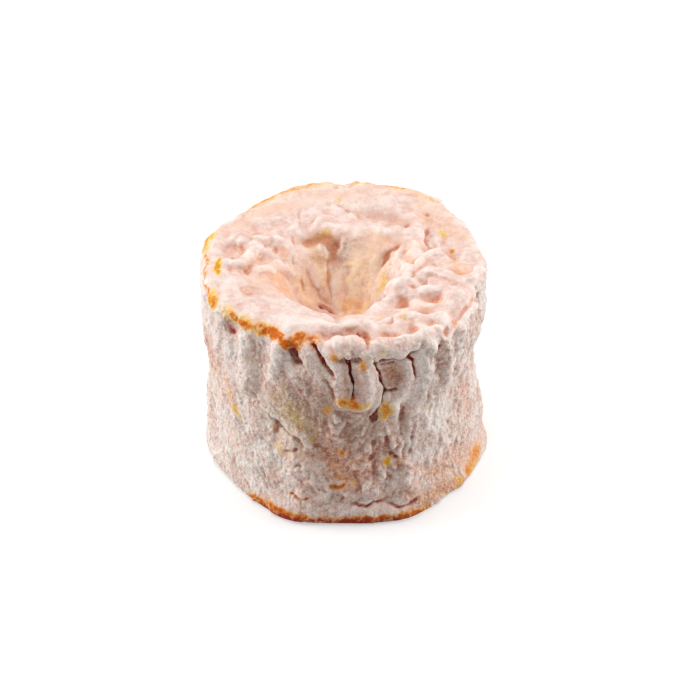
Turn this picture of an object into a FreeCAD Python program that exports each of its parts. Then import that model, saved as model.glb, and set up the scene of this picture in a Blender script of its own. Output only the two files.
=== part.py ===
"""A small soft washed-rind cheese wheel with a sunken top, built as one solid.

The wheel is a squat drum.  It stands on a spread foot, draws in to a waist and swells again to a rolled
rim.  Inside the rim a broad shelf dips towards a deep funnel, the hollow that forms because the wheel is
never turned while it ripens.  The rind wrinkled as the paste shrank: pleats hang under the rim, ridges run
over the shelf and down into the funnel, and the outline is never quite round.

Frame: millimetres, +Z up, origin on the resting face under the middle of the wheel's outline.  Bearings are
degrees around +Z: 0 is -Y, the side with the heaviest pleats, and 90 is +X.  The skin is one cubic surface,
closed around the wheel.  Its control points follow a meridian (foot, wall, rim, shelf, funnel) pushed in and
out by a relief: slow swells of the outline, lumps of the wall, and folds drawn as short paths.
"""
import FreeCAD
import Part
import math
import os
from collections import namedtuple

# ---- overall sizes ---------------------------------------------------------------------------------
HEIGHT = 58.0          # resting face to the top of the rim
LIP_RADIUS = 37.6      # widest ring of the rim
LIP_DROP = 7.5         # how far that ring lies below the top of the rim
WAIST_RADIUS = 34.9    # narrowest ring of the wall
WAIST_RISE = 30.0      # height of that ring
FOOT_RADIUS = 37.2     # widest ring of the foot
FOOT_RISE = 1.5        # height of that ring
FOOT_FLARE = 8.0       # height over which the foot dies into the wall
FOOT_SHARE = 0.45      # how much of the foot's spread is left above the flare

# ---- rim, shelf and funnel -------------------------------------------------------------------------
RIM_WIDTH = 4.8        # from the lip in to where the rim is level
RIM_FULLNESS = 3.0     # 2 is an ellipse, more is squarer
SHELF_DIP = 1.6        # how far the shelf falls from the rim to the shoulder of the funnel
FUNNEL_RADIUS = 17.0   # at the shoulder
FUNNEL_DEPTH = 15.5    # below the shoulder
FUNNEL_FLOOR = 2.4     # radius of the small level floor
FUNNEL_STEEPNESS = 1.2
FUNNEL_X = -0.5        # the funnel lies off the wheel's axis
FUNNEL_Y = -4.5
FUNNEL_CREASES = 9     # soft creases that run down the funnel
FUNNEL_CREASE_LIFT = 0.35

# ---- pleats spread evenly over the quiet sides of the wall -----------------------------------------
PLEATS = 21
PLEAT_START = 55.0     # bearings between which they lie, the long way round the back
PLEAT_END = 318.0
PLEAT_HALF_WIDTH = 2.0
PLEAT_LIFT = 0.5
PLEAT_TOP = 5.0        # below the top of the rim
PLEAT_LENGTH = 21.0

# ---- how finely the skin is laid out ---------------------------------------------------------------
POLES_AROUND = 180
FOOT_ROWS = 3
WALL_ROWS = 38
RIM_ROWS = 11
SHELF_ROWS = 11
FUNNEL_ROWS = 15
DEGREE = 3
NOT_QUITE_LEVEL = 0.01  # an end ring of the skin is flatter than this

Swell = namedtuple("Swell", "bearing half_width out")
Lump = namedtuple("Lump", "waves phase twist out")
Fold = namedtuple("Fold", "half_width lift path")

# Slow changes of the outline: bearing, half the angle covered, millimetres outwards.
FOOT_SWELLS = [
    Swell(-90, 20, 0.9), Swell(-56, 24, -0.8), Swell(-25, 13, 1.4), Swell(-1, 12, -0.5), Swell(25, 15, 0.9),
    Swell(48, 14, -0.4), Swell(82, 12, 0.8), Swell(98, 12, -1.2), Swell(150, 30, -0.8), Swell(210, 26, -0.5),
]
WAIST_SWELLS = [
    Swell(-75, 45, 1.0), Swell(-38, 24, -0.7), Swell(80, 50, -1.9), Swell(15, 40, 0.4),
    Swell(165, 45, -0.6), Swell(220, 28, 0.5),
]
RIM_SWELLS = [
    Swell(-108, 18, 1.4), Swell(198, 34, 1.6), Swell(182, 4, -1.8), Swell(150, 18, 1.9), Swell(90, 44, -2.0),
    Swell(-38, 30, -4.0), Swell(-8, 15, -0.8), Swell(20, 22, -0.7), Swell(48, 20, 0.6), Swell(82, 12, 0.5),
]
RIM_RISES = [
    Swell(-30, 24, -0.3), Swell(-5, 14, -1.4), Swell(18, 18, -1.0), Swell(48, 20, -0.8),
    Swell(-95, 18, -0.7), Swell(105, 30, -0.5), Swell(170, 60, 1.2),
]

# How the funnel's shoulder departs from a circle, by bearing from the funnel's own axis.
FUNNEL_SWELLS = [Swell(-95, 60, 3.2), Swell(80, 60, -2.6), Swell(28, 30, -1.2), Swell(170, 40, -0.6)]

# Lumps that wind round the wall: how many, their phase, how they turn with height, millimetres outwards.
WALL_LUMPS = [Lump(5, 0.4, 0.05, 0.25), Lump(9, 2.1, -0.07, 0.25), Lump(17, 4.0, 0.09, 0.2)]

# Folds of the wall.  A path is a few (bearing, millimetres below the top) pairs; a negative lift is a groove.
WALL_FOLDS = [
    Fold(1.3, -1.9, [(-14, 2), (-10, 4), (-6, 7)]),                    # slanting slit left of the loop fold
    Fold(2.0, 1.3, [(-4.5, 4), (-2.8, 11), (-2, 16.5)]),               # left arm of the loop fold
    Fold(2.0, 1.4, [(5.5, 3), (7.5, 9), (8.5, 14), (7, 18)]),          # right arm
    Fold(2.0, 1.1, [(-1, 18), (6, 18.7)]),                             # where the arms join
    Fold(1.1, -2.0, [(1, 3), (2, 15)]),                                # slit inside the loop
    Fold(1.2, -1.8, [(10, 4.5), (13.5, 13), (11, 23)]),                # slit right of the loop
    Fold(3.0, -1.2, [(17, 8), (18, 14)]),                              # sunken panel
    Fold(1.8, 1.1, [(22, 4), (26, 11), (22, 17), (20, 22)]),           # fold right of the panel
    Fold(1.3, -1.6, [(21, 5), (27, 8), (28, 12)]),                     # slit beyond it
    Fold(1.8, 1.0, [(32, 5), (33, 14), (30, 22)]),
    Fold(1.5, -1.2, [(36, 7), (35, 13)]),
    Fold(1.9, 0.9, [(41, 5), (42, 16)]),
    Fold(1.6, -1.0, [(47, 6), (50, 20)]),
    Fold(1.8, -1.8, [(-21, 4), (-21, 8)]),                             # three-cornered pit
    Fold(1.8, 0.6, [(-28, 5), (-31, 13), (-30, 20)]),
    Fold(1.6, -1.3, [(-54, 5), (-50, 6)]),
    Fold(2.2, -0.8, [(-40, 7), (-42, 24)]),
    Fold(1.8, 0.7, [(-47, 8), (-46, 22)]),
    Fold(1.6, -1.0, [(22, 25), (25, 38)]),
    Fold(2.2, 0.8, [(29, 26), (24, 36), (26, 46)]),
    Fold(1.8, -0.8, [(-12, 33), (2, 43)]),
    Fold(2.4, 0.7, [(-20, 30), (-24, 42)]),
    Fold(1.6, -0.9, [(-50, 36), (-38, 48)]),
    Fold(1.6, -0.9, [(-4, 50), (14, 51), (22, 53)]),
    Fold(6.0, -1.2, [(-93, 14), (-93, 26)]),                           # the wall draws in under the left rim
    Fold(6.0, 1.2, [(84, 37), (84, 48)]),                              # and fills out low on the right
]

# Folds of the rim, shelf and funnel.  A path is a few (x, y) pairs, drawn for a lip of this radius.
PLAN_RADIUS = 37.6
TOP_FOLDS = [
    Fold(1.8, 0.8, [(-5, -34), (0, -34.5), (4.5, -35.5)]),             # tongue over the loop fold
    Fold(1.5, -1.6, [(-5, -31), (1, -31), (6, -31.5)]),                # hollow behind the tongue
    Fold(2.2, 1.5, [(-14, -28), (-4, -27.5), (4, -26.5)]),             # rolled edge of the shelf above it
    Fold(1.6, 0.9, [(6, -36), (9, -33.5), (13, -33), (17, -31.5), (22, -29)]),
    Fold(1.8, -0.9, [(9, -29.5), (13, -29.5)]),
    Fold(1.7, 0.9, [(13.5, -19.5), (16, -20.5), (18.5, -23), (23.5, -24)]),
    Fold(1.5, -1.2, [(15.5, -27), (16, -30)]),
    Fold(1.8, 1.3, [(20, -5), (24, -6), (27.5, -8.5), (31, -9), (33.5, -6), (35.5, -3)]),
    Fold(1.8, 1.2, [(11.5, -10.5), (13.5, -9.5), (16.5, -8.5), (20, -5)]),
    Fold(2.0, 1.0, [(11.5, -10), (10, -13.5), (8, -16.5)]),
    Fold(1.5, 0.8, [(14, -10), (16, -11.5), (20, -12), (23, -7)]),
    Fold(3.4, 1.0, [(23.5, -13), (27.5, -15.5), (30, -16.5)]),         # broad lobe of the shelf
    Fold(1.4, -1.2, [(36, -8), (32, -15), (29, -20), (26, -23.5)]),    # crease round the lobe
    Fold(1.8, -1.5, [(13.5, -17), (15, -16.5)]),
    Fold(1.8, -1.0, [(22, -16), (23, -16)]),
    Fold(1.8, -0.9, [(19, -21), (20, -21.5)]),
    Fold(2.3, 1.2, [(19, 10), (17, 3.5), (14, -4), (13, -7.5)]),       # fold that runs into the funnel
    Fold(1.7, 0.8, [(17, 18.5), (16, 12.5), (13.5, 5.5), (12.5, 0.5)]),
    Fold(1.6, 0.8, [(23.5, 5.5), (19, 0), (15.5, -6)]),
    Fold(1.4, -1.0, [(21.5, 21), (21.5, 15), (20.5, 10), (22, 7)]),
    Fold(1.8, -0.9, [(27, 6), (28.5, 2), (33, 0)]),
    Fold(2.2, 1.2, [(-6, 16.5), (0, 13), (6, 13.5), (14, 12)]),        # ridge behind the funnel
    Fold(2.2, -1.2, [(3, 20.5), (9, 18.5), (15.5, 17)]),               # trough behind that ridge
    Fold(1.5, -1.1, [(13, 8), (8.5, 4.5)]),
    Fold(2.4, -1.6, [(-10, 10), (-5.5, 11.5), (-2.5, 7.5)]),           # pocket at the funnel's edge
    Fold(1.8, 0.9, [(-26, 9), (-22, 11.5), (-18, 11.5), (-14.5, 7), (-12.5, 2.5)]),
    Fold(1.6, 0.9, [(-30.5, -0.5), (-27, -0.5), (-24.5, 4), (-21.5, 5.5)]),
    Fold(1.8, 0.7, [(-21.5, -2.5), (-17, -1.5), (-14.5, -4)]),
    Fold(1.8, -0.9, [(-29, 6.5), (-30, 4)]),
    Fold(1.8, -0.9, [(-29, -2), (-25, -4)]),
    Fold(1.8, -0.8, [(-24, 15), (-21, 15.5)]),
    Fold(1.8, -0.8, [(-24.5, -12), (-23.5, -12)]),
    Fold(2.2, -0.8, [(-2.5, -22), (-3, -15)]),                         # dip in the funnel's near edge
]
REACH = 3.0            # a fold is felt over this many half widths
LIP_RISE = HEIGHT - LIP_DROP


def ease(share):
    """A smooth step from 0 to 1."""
    share = min(1.0, max(0.0, share))
    return share * share * (3.0 - 2.0 * share)


def turn_between(a, b):
    """The signed angle from b to a, in degrees."""
    return (a - b + 180.0) % 360.0 - 180.0


def swell(swells, bearing):
    """The sum of the raised-cosine swells at this bearing."""
    total = 0.0
    for s in swells:
        off = abs(turn_between(bearing, s.bearing)) / s.half_width
        if off < 1.0:
            total += s.out * 0.5 * (1.0 + math.cos(math.pi * off))
    return total


def distance_to_path(px, py, path):
    """The distance from a point to a path of straight stretches."""
    nearest = math.inf
    for (ax, ay), (bx, by) in zip(path, path[1:]):
        dx, dy = bx - ax, by - ay
        share = ((px - ax) * dx + (py - ay) * dy) / (dx * dx + dy * dy)
        share = min(1.0, max(0.0, share))
        nearest = min(nearest, math.hypot(px - ax - share * dx, py - ay - share * dy))
    return nearest


def fold_lift(px, py, fold, path):
    """The height of a rounded fold or groove at a point."""
    away = distance_to_path(px, py, path) / fold.half_width
    return fold.lift * math.exp(-away * away) if away < REACH else 0.0


def wall_radius(bearing, z):
    """The wall's radius at a height: foot, waist and lip joined by smooth steps."""
    foot = FOOT_RADIUS + swell(FOOT_SWELLS, bearing)
    waist = WAIST_RADIUS + swell(WAIST_SWELLS, bearing)
    lip = LIP_RADIUS + swell(RIM_SWELLS, bearing)
    belly = waist + FOOT_SHARE * (foot - waist)
    radius = waist + (lip - waist) * ease((z - WAIST_RISE) / (LIP_RISE - WAIST_RISE))
    if z < WAIST_RISE:
        radius += (belly - waist) * ease((WAIST_RISE - z) / (WAIST_RISE - FOOT_FLARE))
    if z < FOOT_FLARE:
        radius += (foot - belly) * ease((FOOT_FLARE - z) / (FOOT_FLARE - FOOT_RISE))
    return radius


def funnel_mouth(bearing):
    """The funnel's radius at its shoulder, about its own axis."""
    return FUNNEL_RADIUS + swell(FUNNEL_SWELLS, bearing)


def meridian(bearing):
    """The section at one bearing, from the resting face to the funnel's floor.

    Each station is (radius, height, share of the wall, share of the way to the funnel's own axis).
    """
    top = HEIGHT + swell(RIM_RISES, bearing)
    stations = []
    foot = wall_radius(bearing, FOOT_RISE)
    for row in range(FOOT_ROWS):
        bend = math.radians(90.0 * row / FOOT_ROWS)
        stations.append((foot - FOOT_RISE * (1 - math.sin(bend)), FOOT_RISE * (1 - math.cos(bend)), 1.0, 0.0))
    for row in range(WALL_ROWS):
        z = FOOT_RISE + (LIP_RISE - FOOT_RISE) * row / WALL_ROWS
        stations.append((wall_radius(bearing, z), z, 1.0, 0.0))
    lip = wall_radius(bearing, LIP_RISE)
    for row in range(RIM_ROWS):
        bend = math.radians(90.0 * row / RIM_ROWS)
        across = RIM_WIDTH * (1 - math.cos(bend) ** (2.0 / RIM_FULLNESS))
        up = (top - LIP_RISE) * math.sin(bend) ** (2.0 / RIM_FULLNESS)
        stations.append((lip - across, LIP_RISE + up, 1.0 - ease(row / RIM_ROWS), 0.0))
    rim = lip - RIM_WIDTH
    mouth = funnel_mouth(bearing)
    for row in range(SHELF_ROWS):
        share = row / SHELF_ROWS
        stations.append((rim + (mouth - rim) * share, top - SHELF_DIP * ease(share), 0.0, ease(share)))
    shoulder = top - SHELF_DIP
    floor = HEIGHT - SHELF_DIP - FUNNEL_DEPTH
    for row in range(FUNNEL_ROWS + 1):
        share = row / FUNNEL_ROWS
        fall = (shoulder - floor) * ease(share ** (1.0 / FUNNEL_STEEPNESS))
        stations.append((mouth + (FUNNEL_FLOOR - mouth) * share, shoulder - fall, 0.0, 1.0))
    return stations


def wall_relief(bearing, z):
    """How far the lumps, folds and pleats push the wall out at a bearing and a height."""
    out = 0.0
    for lump in WALL_LUMPS:
        out += lump.out * math.cos(lump.waves * math.radians(bearing) + lump.phase + lump.twist * z)
    below = HEIGHT - z
    for fold in WALL_FOLDS:
        middle = fold.path[0][0]
        across = math.radians(turn_between(bearing, middle)) * WAIST_RADIUS
        path = [(math.radians(b - middle) * WAIST_RADIUS, down) for b, down in fold.path]
        out += fold_lift(across, below, fold, path)
    for pleat in range(PLEATS):
        middle = PLEAT_START + (PLEAT_END - PLEAT_START) * (pleat + 0.35 * math.sin(2.3 * pleat)) / (PLEATS - 1)
        top = PLEAT_TOP + 3.0 * math.sin(1.7 * pleat)
        length = PLEAT_LENGTH + 8.0 * math.sin(3.1 * pleat)
        side = 1.0 if pleat % 2 else -1.0
        hang = Fold(PLEAT_HALF_WIDTH, side * PLEAT_LIFT, None)
        across = math.radians(turn_between(bearing, middle)) * WAIST_RADIUS
        out += fold_lift(across, below, hang, [(0.0, top), (1.5 * math.sin(5.0 * pleat), top + length)])
    return out * ease((z - FOOT_RISE) / FOOT_FLARE)


def top_relief(x, y):
    """How far the folds lift the rim, the shelf and the funnel at a place seen from above."""
    plan = PLAN_RADIUS / LIP_RADIUS
    up = 0.0
    for fold in TOP_FOLDS:
        up += fold_lift(x * plan, y * plan, fold, fold.path)
    return up


def funnel_relief(bearing, radius):
    """The soft creases that run down the funnel, dying out at its shoulder."""
    turn = math.radians(bearing)
    depth = ease(1.6 * (1.0 - radius / funnel_mouth(bearing)))
    return FUNNEL_CREASE_LIFT * depth * math.cos(FUNNEL_CREASES * turn + 1.2 * math.sin(2.0 * turn))


def skin_poles():
    """The control points of the skin: a column for each bearing, from the resting face to the funnel's floor."""
    columns = []
    for step in range(POLES_AROUND):
        bearing = 360.0 * step / POLES_AROUND
        east, south = math.sin(math.radians(bearing)), math.cos(math.radians(bearing))
        stations = meridian(bearing)
        last = len(stations) - 1
        column = []
        for row, (radius, z, wall, off_axis) in enumerate(stations):
            radius_before, z_before = stations[max(row - 1, 0)][:2]
            radius_after, z_after = stations[min(row + 1, last)][:2]
            run, rise = radius_after - radius_before, z_after - z_before
            length = math.hypot(run, rise)
            out, up = rise / length, -run / length
            x = radius * east + FUNNEL_X * off_axis
            y = -radius * south + FUNNEL_Y * off_axis
            lift = 0.0
            if wall > 0.0:
                lift += wall * wall_relief(bearing, z)
            if wall < 1.0:
                lift += (1.0 - wall) * top_relief(x, y)
            if off_axis == 1.0:
                lift += funnel_relief(bearing, radius)
                lift *= ease((last - row) / 4.0)
            column.append(FreeCAD.Vector(x + lift * out * east, y - lift * out * south, z + lift * up))
        columns.append(column)
    return columns


def skin():
    """The cubic surface over the control points, closed around the wheel."""
    poles = skin_poles()
    spans = len(poles[0]) - DEGREE
    knots_along = [float(knot) for knot in range(spans + 1)]
    multiplicities_along = [DEGREE + 1] + [1] * (spans - 1) + [DEGREE + 1]
    knots_around = [float(knot) for knot in range(POLES_AROUND + 1)]
    multiplicities_around = [1] * (POLES_AROUND + 1)
    surface = Part.BSplineSurface()
    surface.buildFromPolesMultsKnots(
        poles, multiplicities_around, multiplicities_along, knots_around, knots_along, True, False,
        DEGREE, DEGREE)
    return surface.toShape()


def cheese_wheel():
    """The skin, its resting face and the funnel's floor, joined as one solid and centred over the origin."""
    side = skin()
    rings = [edge for edge in side.Edges if edge.BoundBox.ZLength < NOT_QUITE_LEVEL]
    lids = [Part.Face(Part.Wire([ring])) for ring in rings]
    shell = Part.makeShell([side] + lids)
    shell.sewShape()
    wheel = Part.makeSolid(shell)
    if wheel.Volume < 0:
        wheel.reverse()
    outline = wheel.optimalBoundingBox(False)
    wheel.translate(FreeCAD.Vector(-outline.Center.x, -outline.Center.y, -outline.ZMin))
    return wheel


def main():
    os.makedirs("parts", exist_ok=True)
    wheel = cheese_wheel()
    wheel.exportStep("parts/cheese_wheel.step")
    size = wheel.BoundBox
    print("valid", wheel.isValid(), "solids", len(wheel.Solids), "faces", len(wheel.Faces))
    print("volume in cubic centimetres", round(wheel.Volume / 1000.0, 1))
    print("size", round(size.XLength, 2), round(size.YLength, 2), round(size.ZLength, 2))


main()
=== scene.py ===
"""Dresses the cheese wheel: a wrinkled rind with its bloom and stains, a plain stage, and the camera."""
import math
from collections import namedtuple

import bpy
import numpy as np
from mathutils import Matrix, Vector


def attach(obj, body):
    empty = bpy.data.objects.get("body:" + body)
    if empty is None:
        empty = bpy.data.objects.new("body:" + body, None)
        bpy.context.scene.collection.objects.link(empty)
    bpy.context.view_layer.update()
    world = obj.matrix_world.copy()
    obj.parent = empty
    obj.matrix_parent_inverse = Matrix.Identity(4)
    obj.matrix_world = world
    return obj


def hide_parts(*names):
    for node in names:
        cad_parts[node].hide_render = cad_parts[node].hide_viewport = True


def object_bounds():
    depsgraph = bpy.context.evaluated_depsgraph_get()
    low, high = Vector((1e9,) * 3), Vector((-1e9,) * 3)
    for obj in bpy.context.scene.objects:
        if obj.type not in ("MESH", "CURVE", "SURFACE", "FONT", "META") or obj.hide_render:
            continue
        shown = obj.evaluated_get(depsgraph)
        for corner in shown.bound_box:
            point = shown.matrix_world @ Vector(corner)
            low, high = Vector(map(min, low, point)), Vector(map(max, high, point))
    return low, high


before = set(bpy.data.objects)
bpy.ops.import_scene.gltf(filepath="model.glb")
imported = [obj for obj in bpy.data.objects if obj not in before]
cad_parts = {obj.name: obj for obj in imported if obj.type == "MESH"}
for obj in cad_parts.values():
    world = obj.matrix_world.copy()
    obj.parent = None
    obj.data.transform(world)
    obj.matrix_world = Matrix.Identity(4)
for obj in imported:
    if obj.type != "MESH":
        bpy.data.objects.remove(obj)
CAD_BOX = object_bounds()

bl_info = {
    "name": "Washed-rind cheese wheel",
    "version": (1, 0, 0),
    "blender": (4, 5, 0),
    "location": "3D View > Sidebar > Cheese",
    "description": "Wrinkles, colours and lights a small washed-rind cheese wheel",
    "category": "Object",
}

NODE = "cheese_wheel"
MM = 0.001
# In millimetres:
WALL_RADIUS = 36.0      # turns bearings on the wall into distances
SHELF_RADIUS = 30.0     # what is nearer the axis, and above the next height, is shelf or funnel
UPPER_PART = 20.0

# ---- the stage: metres, watts and degrees ----
FLOOR_HALF = 3.0
FLOOR_GLOW = (0.46, 1.0)            # near the wheel and far from it, as the camera sees it
FLOOR_GLOW_REACH = (180.0, 700.0)   # millimetres from the middle, between which it changes
WORLD_LIGHT = 0.34
LAMP_SIZE = 0.5
LAMP_AIM = (0, 0, 0.03)
LAMPS = [
    ("top softbox", (0.0, 0.04, 0.75), 2.9),
    ("left softbox", (-0.7, 0.05, 0.25), 4.2),
    ("right softbox", (0.7, 0.05, 0.25), 3.6),
]
CAMERA_AIM = (0.001, 0.0, 0.029)
CAMERA_DISTANCE = 0.6
CAMERA_ELEVATION = 37.0
SENSOR_WIDTH = 36.0                 # millimetres, as the lens
LENS = 117.3

# ---- the map, one unit wide and high ----
MAP_CORNER = (0.002, 0.004)         # where the wall starts
MAP_WALL = (370.0, 232.0)           # degrees round the wall and millimetres up it for a unit
MAP_TOP = (0.335, 0.64, 120.0)      # middle of the disc, and millimetres for a unit
MAP_BASE = (0.83, 0.48, 240.0)

# ---- wrinkles drawn by noise ----
# Height, breadth each way, roundness of the creases, and the noise's seed.
Wrinkles = namedtuple("Wrinkles", "lift size softness seed")
TOP_CELLS = Wrinkles(0.9, 5.2, 0.2, 21)
TOP_PUCKERS = Wrinkles(0.14, 2.2, 0.2, 22)
WALL_PLEATS = Wrinkles(0.95, (5.5, 5.5, 16.0), 0.25, 34)
WALL_PUCKERS = Wrinkles(0.58, (2.5, 2.5, 3.7), 0.18, 32)
WALL_SLANTS = Wrinkles(0.6, (2.5, 2.5, 4.8), 0.22, 36)
WALL_CRUMPLES = Wrinkles(0.42, (6.8, 6.8, 8.5), 0.08, 39)
WALL_CRACKLE = Wrinkles(0.24, (1.4, 1.4, 1.8), 0.12, 33)
# Where the top is calmer, on the shelf and on the amber paste: middle, radius, and stretch of the change.
CALM_SPOTS = [(-14.0, -22.0, 6.0, 8.0), (4.0, 4.0, 4.0, 5.0)]

# ---- folds, slits and pits ----
# Places are in millimetres.  Bearings are degrees round +Z: 0 is -Y, the side with the heaviest pleats,
# and 90 is +X.  A mark on the wall runs through (bearing, height) pairs, one on the top through (x, y).
# Each mark is (half width, lift, path): a positive lift is a swollen fold, a negative one is sunken.

# A small scar on the shelf, most of a ring.
SCAR = [(1.7 * math.cos(angle) - 24.4, 1.3 * math.sin(angle + 0.4) - 11.4)
        for angle in np.linspace(0, 4.9, 8)]
# Cells of bare paste at the left of the shelf.
BACK_CELL = [(-24.4, 12.4), (-21.6, 12)]
SIDE_CELL = [(-30, 5.6), (-28.2, 5.4)]
# Long cracks near the foot, and one higher up.
FOOT_CRACKS = [
    [(1, 6.8), (8, 5.8), (11, 7), (15.6, 6.2)],
    [(17, 6), (22, 4.4), (26, 4.4), (31, 5.8)],
]
WALL_CRACK = [(18.6, 21.4), (21.4, 20)]
# Round swellings.
TOP_FOLDS = [
    # the crest that the mould has lifted round the back
    (1.3, 0.17, [(-33, 14), (-28.5, 14), (-24.6, 17), (-21, 20.5), (-16, 25.4), (-12, 28.3), (-7, 30)]),
    # between the cells at the left
    (1.3, 0.75, [(-31, 0.2), (-29, -0.4), (-26, 0.9), (-24, 5), (-22.5, 9.2), (-19.7, 10.3), (-16, 8.5)]),
    (1.2, 0.75, [(-24.7, -4.3), (-23, -1.8), (-19.5, -1.4), (-17, 1.4), (-15, 1.5), (-13, 1.2)]),
    (1.2, 0.5, [(-31, 9), (-27.6, 9.6), (-26, 7.5)]),
    (1.6, 0.35, [(-15.5, 17.5), (-13.8, 15)]),
    # across the back, between the brown band and the hollow
    (1.5, 0.5, [(-8, 15.6), (-4.2, 14.8), (-1.6, 12.7), (2.6, 12.2), (6.5, 13.2), (11.4, 12.3), (17, 13.8)]),
    (1, 0.4, [(-5.8, 9.4), (-4.9, 9.6)]),
    # soft cells in the amber paste of the hollow
    (1.3, 0.3, [(-2.2, 7.6), (-1.6, 5.2)]),
    (1.9, 0.35, [(1.8, 7), (3.2, 5.2)]),
    (1.9, 0.3, [(6.2, 6), (8.6, 4.4)]),
    (1.7, 0.3, [(0.6, 3.4), (2.2, 2.4)]),
    (1.7, 0.3, [(5.4, 2.4), (7, 0.8)]),
    (1, 0.3, [(-0.4, 1.6), (1.2, 0.4)]),
    # the button in the brown pit
    (0.8, 0.22, [(-7.4, 10.2), (-6.2, 10.6)]),
    # spokes at the right
    (1.4, 0.6, [(18.5, 10), (17.5, 5), (16.3, 0), (15.3, -4.5)]),
    (0.9, 0.6, [(23.2, 5.6), (20.2, 2.2), (17.6, -1.9), (15, -7.6), (13.6, -10.5)]),
    (0.9, 0.65, [(13, -11), (17.4, -8.8), (20.5, -6.2), (23, -6.4), (26.2, -8.3), (29, -10.2), (32.5, -7.6),
                 (35, -2)]),
    (0.99, 0.25, [(28.6, 1.2), (32.2, -0.4), (35, 1.5)]),
    (1.1, 0.6, [(11.1, -12), (13.6, -12.4), (17.3, -13), (20.3, -13.4)]),
    (3.1, 0.45, [(28.6, -14.5), (27.6, -18), (25, -20)]),
    (0.99, 0.2, [(22.5, -19.6), (20.8, -18.2)]),
    (1.1, 0.4, [(13.4, -20.6), (15.8, -22.3), (18, -24.8), (20, -25.3), (22.5, -24.2)]),
    # the rolled edge over the pleats, the tongue and the finger under it
    (1.4, 0.4, [(-14, -30.6), (-10, -29.8), (-6, -28.9), (-2, -28), (1.5, -27), (5.5, -26.4), (9, -27.6)]),
    (1.1, 0.4, [(9, -27.6), (11, -28.4), (12.7, -26), (13.4, -23)]),
    (1.7, 1.5, [(-3, -35.2), (-1, -34.4), (1, -34.2), (2.8, -35)]),
    (1.3, 1, [(5.6, -37), (7.4, -35.6), (9.5, -34.9), (12.2, -34.2), (14.6, -33.2), (17, -32.4), (20, -31.2),
                (22, -29.4)]),
]
# Soft hollows that show the paste.
TOP_HOLLOWS = [
    (1.8, -0.6, BACK_CELL),
    (1.7, -0.6, SIDE_CELL),
    (1.8, -0.6, [(-17.3, 7), (-15.7, 4.8), (-14.6, 4.2)]),
    (1.6, -0.6, [(-22.4, 2.7), (-20.6, 3.1)]),
    (1.4, -0.65, [(-25.8, -1.9), (-24.2, -2.4)]),
    (1.8, -0.5, [(-25.2, -12.6), (-23.6, -14.6)]),
    (0.9, -0.6, [(-10.9, 10.4), (-8.9, 10.6), (-7.2, 12), (-5, 11.7), (-3, 10.4), (-3.8, 8.4)]),
    (1.1, -0.5, [(-8.8, 6.4), (-6.3, 7)]),
    (1.9, -0.6, [(3, 21.6), (6, 21.4), (9, 20.6), (12.3, 19.8), (15.7, 17.2)]),
    (0.85, -0.36, [(-5.4, 25.6), (-3.8, 25)]),
    (1.4, -0.36, [(24.5, 12.4), (27, 6), (27.4, 1.2)]),
    (1.2, -0.48, [(27.4, -4), (29.4, -7), (31, -7)]),
    (1.6, -0.8, [(13.6, -15), (14.8, -16.4)]),
    (1.7, -0.5, [(21.6, -16), (23.3, -16.2)]),
    (1.7, -0.5, [(18.2, -20.4), (20.4, -21.4)]),
    (1.2, -0.9, [(-5, -31.2), (-2.9, -30.4), (-0.2, -30.1), (2.2, -29.8), (3.9, -30.2)]),
    (1.2, -0.72, [(8, -30.8), (12.5, -30.4)]),
    (0.95, -0.6, [(16.3, -27.2), (16.5, -30.4)]),
    (0.95, -0.72, [(21, -27.6), (23, -27.2)]),
    (0.6, -0.35, [(4.6, -30.8), (5, -33), (5.2, -36.8)]),
]
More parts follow.
